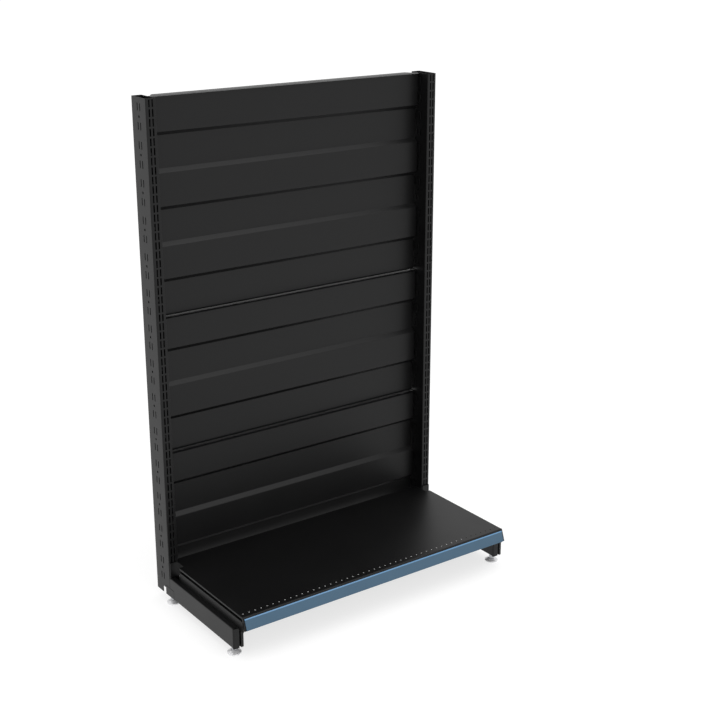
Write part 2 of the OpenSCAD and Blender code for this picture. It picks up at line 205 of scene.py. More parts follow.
def zincPlate(start):
    where = places(start)
    spangle = start.add("ShaderNodeTexVoronoi", {"feature": "F1"},
                        {"Vector": where, "Scale": zincSizes["spangle"]}, output="Color")
    cell = start.add("ShaderNodeSeparateXYZ", {}, {"Vector": spangle})
    cloud = noise(start, where, *zincSizes["cloud"])
    shade = cell * zincSizes["spangleShare"] + cloud * (1 - zincSizes["spangleShare"])
    bump = start.add("ShaderNodeBump", {}, {"Height": cloud, "Strength": zincSizes["bump"],
                                            "Distance": zincSizes["depth"]})
    return {"Base Color": mixed(start, shade, zincSizes["dark"], zincSizes["light"]), "Metallic": 1.0,
            "Roughness": zincSizes["smooth"] + shade * zincSizes["spread"], "Normal": bump}


# the strip's "edge" colour is a painted highlight: a paler band along the top rim, standing in for light from
# above
stripSizes = {"draw": (700.0, 3.0, 0.5), "drawLength": (0.01, 1, 1), "cloud": (14.0, 3.0, 0.5),
              "drawShare": 0.4, "dark": (0.028, 0.080, 0.136, 1), "light": (0.040, 0.104, 0.170, 1),
              "edge": (0.10, 0.25, 0.44, 1), "highlightFrom": 7.6 * mm, "highlightFade": 0.8 * mm, "smooth": 0.24,
              "spread": 0.14, "coat": 0.15, "coatSpread": 0.1, "bump": 0.25, "depth": 0.03 * mm}


def stripPlastic(start):
    where = places(start)
    draw = noise(start, places(start, stripSizes["drawLength"]), *stripSizes["draw"])
    cloud = noise(start, where, *stripSizes["cloud"])
    bump = start.add("ShaderNodeBump", {}, {"Height": draw, "Strength": stripSizes["bump"],
                                            "Distance": stripSizes["depth"]})
    tone = draw * stripSizes["drawShare"] + cloud * (1 - stripSizes["drawShare"])
    body = mixed(start, tone, stripSizes["dark"], stripSizes["light"])
    # painted highlight: the top rim is painted paler, standing in for light from above catching the rounded
    # rim
    height = start.add("ShaderNodeSeparateXYZ", {}, {"Vector": where}, output="Z")
    paintedHighlight = clamped((height - (shelfHigh.z - stripSizes["highlightFrom"])) / stripSizes["highlightFade"])
    return {"Base Color": mixed(start, paintedHighlight, body, stripSizes["edge"]),
            "Roughness": stripSizes["smooth"] + draw * stripSizes["spread"], "Normal": bump,
            "Coat Weight": stripSizes["coat"] + cloud * stripSizes["coatSpread"]}


floorSizes = {"cloud": (1.5, 3.0, 0.5), "dark": (0.32, 0.32, 0.32, 1), "light": (0.35, 0.35, 0.35, 1),
              "rough": 0.85, "spread": 0.1, "glow": 0.72}


def paleFloor(start):
    cloud = noise(start, places(start), *floorSizes["cloud"])
    return {"Base Color": mixed(start, cloud, floorSizes["dark"], floorSizes["light"]),
            "Roughness": floorSizes["rough"] + cloud * floorSizes["spread"], "Specular IOR Level": 0.0,
            "Emission Color": (1, 1, 1, 1), "Emission Strength": floorSizes["glow"]}


finishes = {"black_powder_coat": finish("powderCoat", powderCoat),
            "chrome": finish("turnedChrome", turnedChrome),
            "plated_steel": finish("zincPlate", zincPlate),
            "blue_strip": finish("stripPlastic", stripPlastic)}
print("finishes made:", len(finishes))


def meshOf(name, points, faces):
    mesh = bpy.data.meshes.new(name)
    mesh.from_pydata([tuple(point) for point in points], [], faces)
    mesh.update()
    return mesh


def placed(name, mesh):
    piece = bpy.data.objects.new(name, mesh)
    bpy.context.scene.collection.objects.link(piece)
    return piece


def baked(piece):
    graph = bpy.context.evaluated_depsgraph_get()
    solid = bpy.data.meshes.new_from_object(piece.evaluated_get(graph), depsgraph=graph)
    piece.modifiers.clear()
    piece.data = solid
    return piece


def joined(name, meshes, weld=0.01 * mm, outwards=False):
    work = bmesh.new()
    for mesh in meshes:
        work.from_mesh(mesh)
    bmesh.ops.remove_doubles(work, verts=work.verts, dist=weld)
    if outwards:
        bmesh.ops.recalc_face_normals(work, faces=work.faces)
    whole = bpy.data.meshes.new(name)
    work.to_mesh(whole)
    work.free()
    return whole


def moved(mesh, offset):
    copy = mesh.copy()
    copy.transform(Matrix.Translation(Vector(offset)))
    return copy


def rounded(corners, radius, steps):
    # open outline whose inner corners are turned on an arc
    corners = [Vector(corner) for corner in corners]
    radii = radius if isinstance(radius, list) else [radius] * (len(corners) - 2)
    outline = [corners[0]]
    for before, corner, after, size in zip(corners, corners[1:], corners[2:], radii):
        back = (before - corner).normalized()
        ahead = (after - corner).normalized()
        half = math.acos(max(-1.0, min(1.0, back.dot(ahead)))) / 2
        centre = corner + (back + ahead).normalized() * (size / math.sin(half))
        first = corner + back * (size / math.tan(half)) - centre
        last = corner + ahead * (size / math.tan(half)) - centre
        begin = math.atan2(first.y, first.x)
        sweep = (math.atan2(last.y, last.x) - begin + math.pi) % (2 * math.pi) - math.pi
        for step in range(steps + 1):
            angle = begin + sweep * step / steps
            outline.append(centre + Vector((math.cos(angle), math.sin(angle))) * size)
    return outline + [corners[-1]]


def swept(name, outline, stations, toPoint, flip=False, closed=False):
    # strip of faces between the copies of an outline at each station
    points = [toPoint(station, spot[0], spot[1]) for station in stations for spot in outline]
    count = len(outline)
    faces = []
    for row in range(len(stations) - 1):
        for index in range(count - 1 + closed):
            here = row * count + index
            after = row * count + (index + 1) % count
            face = (here, after, after + count, here + count)
            faces.append(face[::-1] if flip else face)
    if closed:
        faces.append(tuple(range(count))[::-1] if not flip else tuple(range(count)))
        last = tuple(range(len(points) - count, len(points)))
        faces.append(last if not flip else last[::-1])
    return meshOf(name, points, faces)


def alongX(station, u, v):
    return (station, u, v)


def alongY(station, u, v):
    return (u, station, v)


def alongZ(station, u, v):
    return (u, v, station)


def block(low, high):
    corners = [(x, y, z) for x in (low[0], high[0]) for y in (low[1], high[1]) for z in (low[2], high[2])]
    faces = [(0, 1, 3, 2), (4, 6, 7, 5), (0, 4, 5, 1), (2, 3, 7, 6), (0, 2, 6, 4), (1, 5, 7, 3)]
    return meshOf("block", corners, faces)


bevelFrom = math.radians(40)
sharpFrom = math.radians(34)
faceWeight = 80


def sheetMetal(name, mesh, thickness, edge, edgeSteps=2):
    piece = placed(name, mesh)
    if thickness:
        wall = piece.modifiers.new("wall", "SOLIDIFY")
        wall.thickness = thickness
        wall.offset = -1.0
        wall.use_even_offset = True
        wall.use_quality_normals = True
    if edge:
        soft = piece.modifiers.new("softEdges", "BEVEL")
        soft.width = edge
        soft.segments = edgeSteps
        soft.limit_method = "ANGLE"
        soft.angle_limit = bevelFrom
    return baked(piece)


def dressed(piece, body, slot, nodes=()):
    piece.data.shade_smooth()
    piece.data.set_sharp_from_angle(angle=sharpFrom)
    even = piece.modifiers.new("even", "WEIGHTED_NORMAL")
    even.keep_sharp = True
    even.weight = faceWeight
    baked(piece)
    piece.data.materials.clear()
    piece.data.materials.append(finishes[slot])
    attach(piece, body)
    if nodes:
        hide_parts(*nodes)
    return piece


def geometryTree(name, sizes):
    tree = bpy.data.node_groups.new(name, "GeometryNodeTree")
    tree.interface.new_socket(name="Geometry", in_out="OUTPUT", socket_type="NodeSocketGeometry")
    for label, kind in sizes.items():
        tree.interface.new_socket(name=label, in_out="INPUT", socket_type="NodeSocket" + kind)
    inputs = tree.nodes.new("NodeGroupInput")
    return tree, {label: Flow(tree, inputs.outputs[label]) for label in sizes}


def closeTree(tree, geometry, material):
    real = geometry.add("GeometryNodeRealizeInstances", {}, {"Geometry": geometry})
    welded = real.add("GeometryNodeMergeByDistance", {}, {"Geometry": real, "Distance": 0.01 * mm})
    coated = welded.add("GeometryNodeSetMaterial", {}, {"Geometry": welded, "Material": material})
    output = tree.nodes.new("NodeGroupOutput")
    tree.links.new(coated.socket, output.inputs["Geometry"])


def grown(name, tree, values):
    holder = placed(name, bpy.data.meshes.new(name))
    modifier = holder.modifiers.new(name, "NODES")
    modifier.node_group = tree
    for item in tree.interface.items_tree:
        if item.in_out == "INPUT":
            modifier[item.identifier] = values[item.name]
    mesh = baked(holder).data
    bpy.data.objects.remove(holder)
    return mesh


def repeatTree():
    tree, size = geometryTree("repeatedTile", {"Tile": "Object", "Count": "Int", "Start": "Vector",
                                               "Step": "Vector", "Material": "Material"})
    line = size["Count"].add("GeometryNodeMeshLine", {}, {
        "Count": size["Count"], "Start Location": size["Start"], "Offset": size["Step"]})
    tile = line.add("GeometryNodeObjectInfo", {}, {"Object": size["Tile"]}, output="Geometry")
    copies = line.add("GeometryNodeInstanceOnPoints", {}, {"Points": line, "Instance": tile})
    closeTree(tree, copies, size["Material"])
    return tree


bendReach = 1.02  # the outline runs on behind each end by a little more than the bend


def foldedTree():
    tree, size = geometryTree("foldedPanel", {
        "Sections": "Int", "Section Height": "Float", "Front": "Float", "Fold": "Float",
        "Drop": "Float", "Back": "Float", "Half Width": "Float", "Bend": "Float", "Bend Steps": "Int",
        "Material": "Material"})
    start = size["Sections"]
    # outline from the top bend down: forward and set-back sections in turn, with a point behind each end
    count = start * 2.0 + 2.0
    line = start.add("GeometryNodeMeshLine", {}, {"Count": count})
    index = start.add("GeometryNodeInputIndex")
    corner = (index - 1.0).maths("MAXIMUM", 0.0).maths("MINIMUM", count - 3.0)
    section = corner // 2.0
    atEnd = corner % 2.0
    isFirst = corner.maths("COMPARE", 0.0, 0.5)
    isLast = corner.maths("COMPARE", count - 3.0, 0.5)
    isTop = index.maths("COMPARE", 0.0, 0.5)
    isBottom = index.maths("COMPARE", count - 1.0, 0.5)
    halfFold = size["Fold"] * 0.5
    outer = size["Bend"] * bendReach
    depth = size["Front"] + (section % 2.0) * size["Fold"] + (isTop + isBottom) * outer
    height = (isFirst * (halfFold - size["Drop"]) - isLast * halfFold
              - (section + atEnd) * size["Section Height"] - halfFold * (1.0 - atEnd * 2.0))
    spot = start.add("ShaderNodeCombineXYZ", {}, {"X": 0.0, "Y": depth, "Z": height})
    bent = line.add("GeometryNodeSetPosition", {}, {"Geometry": line, "Position": spot})
    curve = bent.add("GeometryNodeMeshToCurve", {}, {"Mesh": bent})
    filleted = curve.add("GeometryNodeFilletCurve", {"mode": "POLY"},
                         {"Curve": curve, "Count": size["Bend Steps"], "Radius": size["Bend"]})
    rows = filleted.add("GeometryNodeAttributeDomainSize", {"component": "CURVE"}, {"Geometry": filleted},
                        output="Point Count")
    # grid whose columns run across the panel and bend back at both ends
    columns = size["Bend Steps"] * 2.0 + 4.0
    grid = start.add("GeometryNodeMeshGrid", {}, {"Vertices X": columns, "Vertices Y": rows})
    row = index % rows
    column = index // rows
    side = (column - (columns - 1.0) * 0.5).maths("SIGN")
    inwards = column.maths("MINIMUM", columns - 1.0 - column)
    turn = (inwards - 1.0).maths("MAXIMUM", 0.0) / size["Bend Steps"] * (math.pi / 2)
    place = filleted.add("GeometryNodeInputPosition")
    sample = filleted.add("GeometryNodeSampleIndex", {"data_type": "FLOAT_VECTOR"},
                          {"Geometry": filleted, "Value": place, "Index": row})
    parts = sample.add("ShaderNodeSeparateXYZ", {}, {"Vector": sample})
    outline = parts.socket.node.outputs
    atRear = inwards.maths("COMPARE", 0.0, 0.5)
    across = side * (size["Half Width"] - size["Bend"] * (1.0 - turn.maths("COSINE")))
    front = Flow(tree, outline["Y"]) + size["Bend"] * (1.0 - turn.maths("SINE"))
    back = front + atRear * (size["Back"] - front)
    target = start.add("ShaderNodeCombineXYZ", {}, {"X": across, "Y": back, "Z": Flow(tree, outline["Z"])})
    sheet = grid.add("GeometryNodeSetPosition", {}, {"Geometry": grid, "Position": target})
    closeTree(tree, sheet, size["Material"])
    return tree


def threadTree():
    tree, size = geometryTree("screwThread", {"Turns": "Float", "Radius": "Float", "Length": "Float",
                                              "Ridge": "Float", "Steps": "Int", "Material": "Material"})
    spiral = size["Turns"].add("GeometryNodeCurveSpiral", {}, {
        "Resolution": size["Steps"], "Rotations": size["Turns"], "Start Radius": size["Radius"],
        "End Radius": size["Radius"], "Height": size["Length"]})
    ridge = spiral.add("GeometryNodeCurvePrimitiveCircle", {}, {"Resolution": 4, "Radius": size["Ridge"]})
    thread = spiral.add("GeometryNodeCurveToMesh", {}, {"Curve": spiral, "Profile Curve": ridge,
                                                        "Fill Caps": True})
    closeTree(tree, thread, size["Material"])
    return tree


repeatedTile = repeatTree()
foldedPanel = foldedTree()
screwThread = threadTree()
print("geometry trees made")


# the shown wall is thinner than the real one, so that the slots read as dark openings
upright = {"wall": 2 * mm, "shownWall": 1.2 * mm, "corner": 2.5 * mm, "cornerSteps": 4, "pitch": 25 * mm,
           "slotHeight": 20 * mm, "slotWidth": 4 * mm, "slotRows": 55, "columns": 9.6 * mm,
           "sideColumns": 14 * mm, "hole": 3.5 * mm, "holeCell": 5 * mm, "holeSteps": 16,
           "notchDepth": 26.5 * mm, "notchHeight": 28.5 * mm, "drainBack": 41 * mm,
           "drainHeight": 20 * mm, "near": 0.1 * mm, "edge": 0.18 * mm}
uprightWidth = leftHigh.x - leftLow.x
uprightDepth = leftHigh.y - leftLow.y
uprightHeight = topZ - footZ
sectionHeight = 4 * upright["pitch"]


def ringPlate(width, depth, radius, steps, across=(), up=()):
    # flat plate with a round hole, as four faces, with further points on its edges
    eighth = steps // 8
    circle = [(radius * math.cos(2 * math.pi * i / steps), radius * math.sin(2 * math.pi * i / steps), 0)
              for i in range(steps)]
    corners = [(width / 2, -depth / 2, 0), (width / 2, depth / 2, 0),
               (-width / 2, depth / 2, 0), (-width / 2, -depth / 2, 0)]
    points = circle + corners
    faces = []
    for quarter in range(4):
        arc = [(2 * eighth * quarter + turn) % steps for turn in range(eighth, -eighth - 1, -1)]
        between = []
        toRight = 1 if quarter in (0, 1) else -1
        order = 1 if quarter in (0, 3) else -1
        for spot in sorted(across if quarter % 2 else up, reverse=order < 0):
            points.append((spot, toRight * depth / 2, 0) if quarter % 2 else (toRight * width / 2, spot, 0))
            between.append(len(points) - 1)
        faces.append([steps + quarter] + between + [steps + (quarter + 1) % 4] + arc)
    return points, faces


def perimeter():
    half = uprightWidth / 2
    corner = upright["corner"]
    slotEdges = [s * upright["columns"] / 2 + t * upright["slotWidth"] / 2
                 for s in (-1, 1) for t in (-1, 1)]
    middle = uprightDepth / 2
    sideEdges = [upright["notchDepth"], upright["drainBack"]]
    sideEdges += [middle + s * upright["sideColumns"] / 2 + t * upright["slotWidth"] / 2
                  for s in (-1, 1) for t in (-1, 1)]
    sideEdges = sorted(sideEdges)
    ring = [(x, 0.0) for x in slotEdges]
    arcs = [((half - corner, corner), -90), ((half - corner, uprightDepth - corner), 0),
            ((corner - half, uprightDepth - corner), 90), ((corner - half, corner), 180)]
    walls = [[(half, y) for y in sideEdges], [], [(-half, y) for y in sideEdges[::-1]], []]
    for (centre, begin), wall in zip(arcs, walls):
        for step in range(upright["cornerSteps"] + 1):
            angle = math.radians(begin + 90 * step / upright["cornerSteps"])
            ring.append((centre[0] + corner * math.cos(angle), centre[1] + corner * math.sin(angle)))
        ring += wall
    return ring


def slotOpen(x, y, depth):
    pitch = upright["pitch"]
    tall = upright["slotHeight"] / 2
    wide = upright["slotWidth"] / 2
    fromBottom = uprightHeight - depth
    if y < upright["notchDepth"] and fromBottom < upright["notchHeight"]:
        return True
    if y < upright["drainBack"] and fromBottom < upright["drainHeight"]:
        return True
    if abs(abs(x) - uprightWidth / 2) > upright["near"]:
        inRow = depth // pitch < upright["slotRows"] and abs(depth % pitch - pitch / 2) < tall
        return y < upright["near"] and inRow and abs(abs(x) - upright["columns"] / 2) < wide
    inSection = depth % sectionHeight
    offMiddle = abs(y - uprightDepth / 2)
    if depth > int(uprightHeight / sectionHeight) * sectionHeight:
        return False
    if abs(inSection - 2 * pitch) < upright["holeCell"]:
        return offMiddle < upright["holeCell"]
    inSlot = min(abs(inSection - pitch), abs(inSection - 3 * pitch)) < tall
    return inSlot and abs(offMiddle - upright["sideColumns"] / 2) < wide


def tubeSkin(name, begin, end):
    pitch = upright["pitch"]
    gap = (pitch - upright["slotHeight"]) / 2
    tall = upright["slotHeight"] / 2
    lines = {begin, end, uprightHeight - upright["notchHeight"], uprightHeight - upright["drainHeight"]}
    for row in range(int(uprightHeight / pitch) + 1):
        lines |= {row * pitch + gap, (row + 1) * pitch - gap}
    for section in range(int(uprightHeight / sectionHeight)):
        base = section * sectionHeight
        lines |= {base + k * pitch + s * tall for k in (1, 3) for s in (-1, 1)}
        lines |= {base + 2 * pitch + s * upright["holeCell"] for s in (-1, 1)}
    lines = sorted({round(line, 6) for line in lines if begin - 1e-6 <= line <= end + 1e-6})
    ring = perimeter()
    count = len(ring)
    points = [(x, y, -line) for line in lines for x, y in ring]
    faces = []
    for row in range(len(lines) - 1):
        for index in range(count):
            after = (index + 1) % count
            middle = [(ring[index][axis] + ring[after][axis]) / 2 for axis in (0, 1)]
            if not slotOpen(middle[0], middle[1], (lines[row] + lines[row + 1]) / 2):
                faces.append((row * count + index, (row + 1) * count + index,
                              (row + 1) * count + after, row * count + after))
    meshes = [meshOf(name, points, faces)]
    # plates with the linking holes, in both side walls
    flat, rings = ringPlate(2 * upright["holeCell"], 2 * upright["holeCell"], upright["hole"],
                            upright["holeSteps"], (upright["drainBack"] - uprightDepth / 2,), (-gap, gap))
    for section in range(int(uprightHeight / sectionHeight)):
        height = section * sectionHeight + 2 * pitch
        if begin < height < end:
            for side in (-1, 1):
                spots = [(side * uprightWidth / 2, uprightDepth / 2 + u, v - height) for u, v, _ in flat]
                meshes.append(meshOf(name, spots, ringFacing(spots, rings, side)))
    return joined(name, meshes)


def ringFacing(spots, rings, side):
    turned = []
    for face in rings:
        corners = [Vector(spots[index]) for index in face]
        middle = sum(corners, Vector()) / len(corners)
        normal = Vector()
        for here, there in zip(corners, corners[1:] + corners[:1]):
            normal += (here - middle).cross(there - middle)
        turned.append(face if normal.x * side > 0 else face[::-1])
    return turned


def buildUprights():
    wholeSections = int(uprightHeight / sectionHeight) - 1
    tile = placed("uprightTile", tubeSkin("uprightTile", 0.0, sectionHeight))
    stacked = grown("uprightStack", repeatedTile, {
        "Tile": tile, "Count": wholeSections, "Start": (0, 0, 0), "Step": (0, 0, -sectionHeight),
        "Material": finishes["black_powder_coat"]})
    foot = tubeSkin("uprightFoot", wholeSections * sectionHeight, uprightHeight)
    skin = joined("uprightSkin", [stacked, foot], weld=0.05 * mm)
    bpy.data.objects.remove(tile)
    for side in sides:
        mesh = moved(skin, (postMiddle[side], faceY, topZ))
        piece = sheetMetal("post_" + side, mesh, upright["shownWall"], upright["edge"], 1)
        dressed(piece, "frame", "black_powder_coat", ["upright_" + side])
        print("upright", side, len(piece.data.polygons))


buildUprights()


panel = {"sheet": 1 * mm, "fold": 11 * mm, "lowReturn": 12 * mm, "gap": 3.5 * mm, "bend": 2.5 * mm,
         "bendSteps": 4, "mitre": 0.6, "lowMitre": 0.09, "lugPlate": 1.5 * mm, "lugHeight": 22 * mm,
         "lugAhead": 4 * mm, "prong": 2.2 * mm, "prongNeck": 12 * mm, "prongDrop": 7 * mm, "play": 0.4 * mm,
         "edge": 0.2 * mm}


def buildPanel(name):
    low, high = [Vector(corner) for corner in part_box("back_panel_" + name)]
    sections = round((high.z - low.z) / sectionHeight)
    prongTip = high.x
    wall = rightLow.x + upright["wall"]
    half = rightLow.x - panel["gap"]
    top = low.z + sections * sectionHeight
    drop = top - high.z
    rear = panelRear
    front = rear - panel["lowReturn"] - panel["fold"]
    skin = grown("panelSkin", foldedPanel, {
        "Sections": sections, "Section Height": sectionHeight, "Front": front, "Fold": panel["fold"],
        "Drop": drop, "Back": rear, "Half Width": half, "Bend": panel["bend"],
        "Bend Steps": panel["bendSteps"],
        "Material": finishes["black_powder_coat"]})
    # return flanges behind the upper and the lower edge
    bend = panel["bend"] * bendReach
    lastFront = front + (sections - 1) % 2 * panel["fold"]
    meshes = [skin]
    for edgeZ, edgeY, backY, flip in ((-drop, front, high.y - faceY, False),
                                      (-sections * sectionHeight, lastFront, rear, True)):
        inner = half - panel["bend"]
        narrow = inner - (backY - edgeY) * panel["lowMitre" if flip else "mitre"]
        spots = [(-inner, edgeY + bend, edgeZ), (inner, edgeY + bend, edgeZ),
                 (narrow, backY, edgeZ), (-narrow, backY, edgeZ)]
        meshes.append(meshOf("return", spots, [(0, 1, 2, 3)[::-1] if flip else (0, 1, 2, 3)]))
    sheet = joined("panelSheet", meshes, weld=0.06 * mm)
    piece = sheetMetal("panelSheet", sheet, panel["sheet"], 0)
    lugs = [lugColumn(side, sections, half, prongTip, wall) for side in (-1, 1)]
    whole = joined("panelWhole", [piece.data] + lugs, weld=0.001 * mm)
    bpy.data.objects.remove(piece)
    panelPiece = placed("panel_" + name, moved(whole, (0, faceY, top)))
    dressed(panelPiece, "frame", "black_powder_coat", ["back_panel_" + name])
    print("panel", name, len(panelPiece.data.polygons))


def lugColumn(side, sections, half, tip, wall):
    middle = uprightDepth / 2
    lugFront = middle - upright["sideColumns"] / 2 - panel["lugAhead"]
    spans = sorted([side * half, side * (half + panel["lugPlate"])])
    lugHalf = panel["lugHeight"] / 2
    meshes = [block((spans[0], lugFront, -lugHalf), (spans[1], panelRear, lugHalf))]
    low = panel["play"] - upright["slotHeight"] / 2
    for column in (-1, 1):
        y = middle + column * upright["sideColumns"] / 2 - panel["prong"] / 2
        neck = sorted([side * half, side * tip])
        hook = sorted([side * (wall + panel["play"]), side * tip])
        meshes.append(block((neck[0], y, low), (neck[1], y + panel["prong"], low + panel["prongNeck"])))
        meshes.append(block((hook[0], y, low - panel["prongDrop"]), (hook[1], y + panel["prong"], low)))
    tile = placed("lugTile", joined("lugTile", meshes, weld=0.0))
    soft = tile.modifiers.new("soft", "BEVEL")
    soft.width = panel["edge"]
    soft.segments = 1
    baked(tile)
    column = grown("lugs", repeatedTile, {
        "Tile": tile, "Count": sections, "Start": (0, 0, -upright["pitch"]), "Step": (0, 0, -sectionHeight),
        "Material": finishes["black_powder_coat"]})
    bpy.data.objects.remove(tile)
    return column


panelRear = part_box("back_panel_bottom")[1][1] - faceY
for panelName in ("top", "middle", "bottom"):
    buildPanel(panelName)


leg = {"wide": 17 * mm, "narrow": 8 * mm, "sheet": 2 * mm, "bend": 2.5 * mm, "bendSteps": 4,
       "notchPlay": 0.5 * mm, "edge": 0.35 * mm}


def buildLeg(name, side, hand, flange):
    low, high = [Vector(corner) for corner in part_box(name)]
    middle = postMiddle[side]
    outer = middle + hand * uprightWidth / 2
    inner = outer - hand * flange
    bracketLow, bracketHigh = [Vector(corner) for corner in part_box("rear_foot_bracket_" + side)]
    notchZ = bracketHigh.z + leg["notchPlay"]
    notchY = bracketLow.y - leg["notchPlay"]
    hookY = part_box("leg_hook_" + side)[0][1]
    outline = rounded([(inner, low.z), (outer, low.z), (outer, high.z), (inner, high.z)], leg["bend"],
                      leg["bendSteps"])
    webStart = leg["bendSteps"] + 2
    outline.insert(webStart, Vector((outer, notchZ)))
    webEnd = webStart + 1
    frontY = low.y
    flip = hand > 0
    meshes = [swept(name, outline, [frontY + leg["bend"], notchY], alongY, flip),
              swept(name, outline[webStart:], [notchY, hookY], alongY, flip),
              swept(name, outline[webStart:webEnd + 1], [hookY, high.y], alongY, flip)]
    # front flap, bent off the web
    flap = rounded([(outer, frontY + 2 * leg["bend"]), (outer, frontY), (inner, frontY)], leg["bend"],
                   leg["bendSteps"])[1:]
    meshes.append(swept(name, flap, [low.z, high.z], alongZ, not flip))
    mesh = joined(name, meshes)
    piece = sheetMetal(name + "_sheet", mesh, leg["sheet"], leg["edge"])
    dressed(piece, "frame", "black_powder_coat", [name])
    print(name, len(piece.data.polygons))


for sideName in sides:
    buildLeg("base_leg_" + sideName, sideName, -1, leg["wide"])
    buildLeg("leg_closer_" + sideName, sideName, 1, leg["narrow"])


def buildBracket(side):
    low, high = [Vector(corner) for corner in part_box("rear_foot_bracket_" + side)]
    outline = rounded([(low.x, low.z), (low.x, high.z), (high.x, high.z), (high.x, low.z)], leg["bend"],
                      leg["bendSteps"])
    mesh = swept("bracket", outline, [low.y, high.y], alongY)
    piece = sheetMetal("foot_bracket_" + side, mesh, leg["sheet"], leg["edge"])
    dressed(piece, "frame", "black_powder_coat", ["rear_foot_bracket_" + side])


for sideName in sides:
    buildBracket(sideName)


shelf = {"sheet": 1 * mm, "slope": math.radians(20), "reach": 380 * mm, "lip": 34 * mm,
         "lipReturn": 10 * mm, "bend": 4 * mm, "returnBend": 1.8 * mm, "lipSteps": 6, "foldBend": 1.5 * mm,
         "foldSteps": 4, "foldRun": 1 * mm, "edgeFold": 6 * mm, "turnIn": 8 * mm, "rearFold": 20 * mm,
         "notch": 28 * mm, "tongueGap": 3 * mm, "holePitch": 19.05 * mm, "hole": 2 * mm, "holeSteps": 16,
         "holeInset": 19.5 * mm, "holeMargin": 12 * mm, "capStart": 1 * mm, "edge": 0.2 * mm}


def slopeSpot(down, out):
    return Vector((-shelf["reach"] - down * math.sin(shelf["slope"]) - out * math.cos(shelf["slope"]),
                   -shelf["bend"] - down * math.cos(shelf["slope"]) + out * math.sin(shelf["slope"])))


def lipCap(side, half):
    # plate that closes the end of the lip
    inside = -shelf["sheet"] / 2
    back = shelf["bend"] - shelf["reach"]
    end = shelf["lip"] - shelf["returnBend"]
    outline = [Vector((back, inside)), slopeSpot(shelf["capStart"], inside), slopeSpot(end, inside),
               slopeSpot(end, -shelf["lipReturn"]), Vector((back, -shelf["edgeFold"]))]
    outline = [spot + Vector((faceY, shelfHigh.z)) for spot in outline]
    ends = sorted([side * half, side * (half - shelf["sheet"])])
    return joined("cap", [swept("cap", outline, ends, alongX, closed=True)], outwards=True)


def buildShelf():
    half = shelfHigh.x
    foldStart = half - shelf["foldBend"]
    tongueHalf = rightLow.x - shelf["tongueGap"]
    tongueBack = shelfHigh.y - faceY
    notch = -shelf["notch"]
    pitch = shelf["holePitch"]
    holes = 2 * math.floor((half - shelf["holeMargin"]) / pitch + 0.5)
    marks = [(index - holes / 2) * pitch for index in range(holes + 1)]
    across = [-foldStart] + marks + [foldStart]
    topCorner = Vector((-shelf["reach"] + shelf["bend"] * math.tan(shelf["slope"]), 0))
    lip = rounded([(-shelf["reach"] + 2 * shelf["bend"], 0), topCorner, slopeSpot(shelf["lip"], 0),
                   slopeSpot(shelf["lip"], -shelf["lipReturn"])],
                  [shelf["bend"], shelf["returnBend"]], shelf["lipSteps"])[1:]
    front = lip[0].x
    meshes = [swept("lip", lip, [-half] + across + [half], alongX)]
    stripFront = -shelf["reach"] + shelf["holeInset"] - pitch / 2
    stripBack = stripFront + pitch
    # row of holes, one square plate each
    flat, rings = ringPlate(pitch, pitch, shelf["hole"], shelf["holeSteps"])
    tile = placed("holeTile", meshOf("holeTile", flat, rings))
    meshes.append(grown("holeRow", repeatedTile, {
        "Tile": tile, "Count": holes, "Start": (marks[0] + pitch / 2, stripFront + pitch / 2, 0),
        "Step": (pitch, 0, 0), "Material": finishes["black_powder_coat"]}))
    bpy.data.objects.remove(tile)
    rear = rounded([(notch, 0), (tongueBack, 0), (tongueBack, -shelf["rearFold"])],
                   shelf["foldBend"], shelf["foldSteps"])
    tongueAcross = [-tongueHalf] + [x for x in marks if abs(x) < tongueHalf] + [tongueHalf]
    plates = []
    for a, b in zip(across, across[1:]):
        plates.append([(a, front), (b, front), (b, stripFront), (a, stripFront)])
        if a < marks[0] - 1e-9 or b > marks[-1] + 1e-9:
            plates.append([(a, stripFront), (b, stripFront), (b, stripBack), (a, stripBack)])
        back = [(x, notch) for x in (tongueHalf, -tongueHalf) if a < x < b]
        plates.append([(a, stripBack), (b, stripBack), (b, notch)] + back + [(a, notch)])
    for plate in plates:
        spots = [(x, y, 0) for x, y in plate]
        meshes.append(meshOf("plate", spots, [tuple(range(len(spots)))]))
    meshes.append(swept("tongue", rear, tongueAcross, alongX, True))
    for side in (-1, 1):
        fold = rounded([(side * (foldStart - shelf["foldRun"]), 0), (side * half, 0),
                        (side * half, -shelf["edgeFold"]),
                        (side * (half - shelf["turnIn"]), -shelf["edgeFold"])],
                       shelf["foldBend"], shelf["foldSteps"])[1:]
        meshes.append(swept("fold", fold, [front, notch], alongY, side < 0))
    sheet = joined("shelfSheet", meshes)
    sheet.transform(Matrix.Translation((0, faceY, shelfHigh.z)))
    piece = sheetMetal("shelf_top_sheet", sheet, shelf["sheet"], shelf["edge"], 1)
    piece.data = joined("shelfWhole", [piece.data] + [lipCap(side, half) for side in (-1, 1)], weld=0.0)
    dressed(piece, "base_shelf", "black_powder_coat", ["base_shelf"])
    print("shelf", len(piece.data.polygons))


buildShelf()

strip = {"thick": 2.4 * mm, "groove": 0.7 * mm, "start": 1 * mm, "rim": 3 * mm, "ramp": 1 * mm,
         "end": 33.5 * mm, "gap": 0.1 * mm, "edge": 0.3 * mm, "tip": 0.6 * mm, "chamfer": 2.4 * mm,
         "edgeSteps": 3}


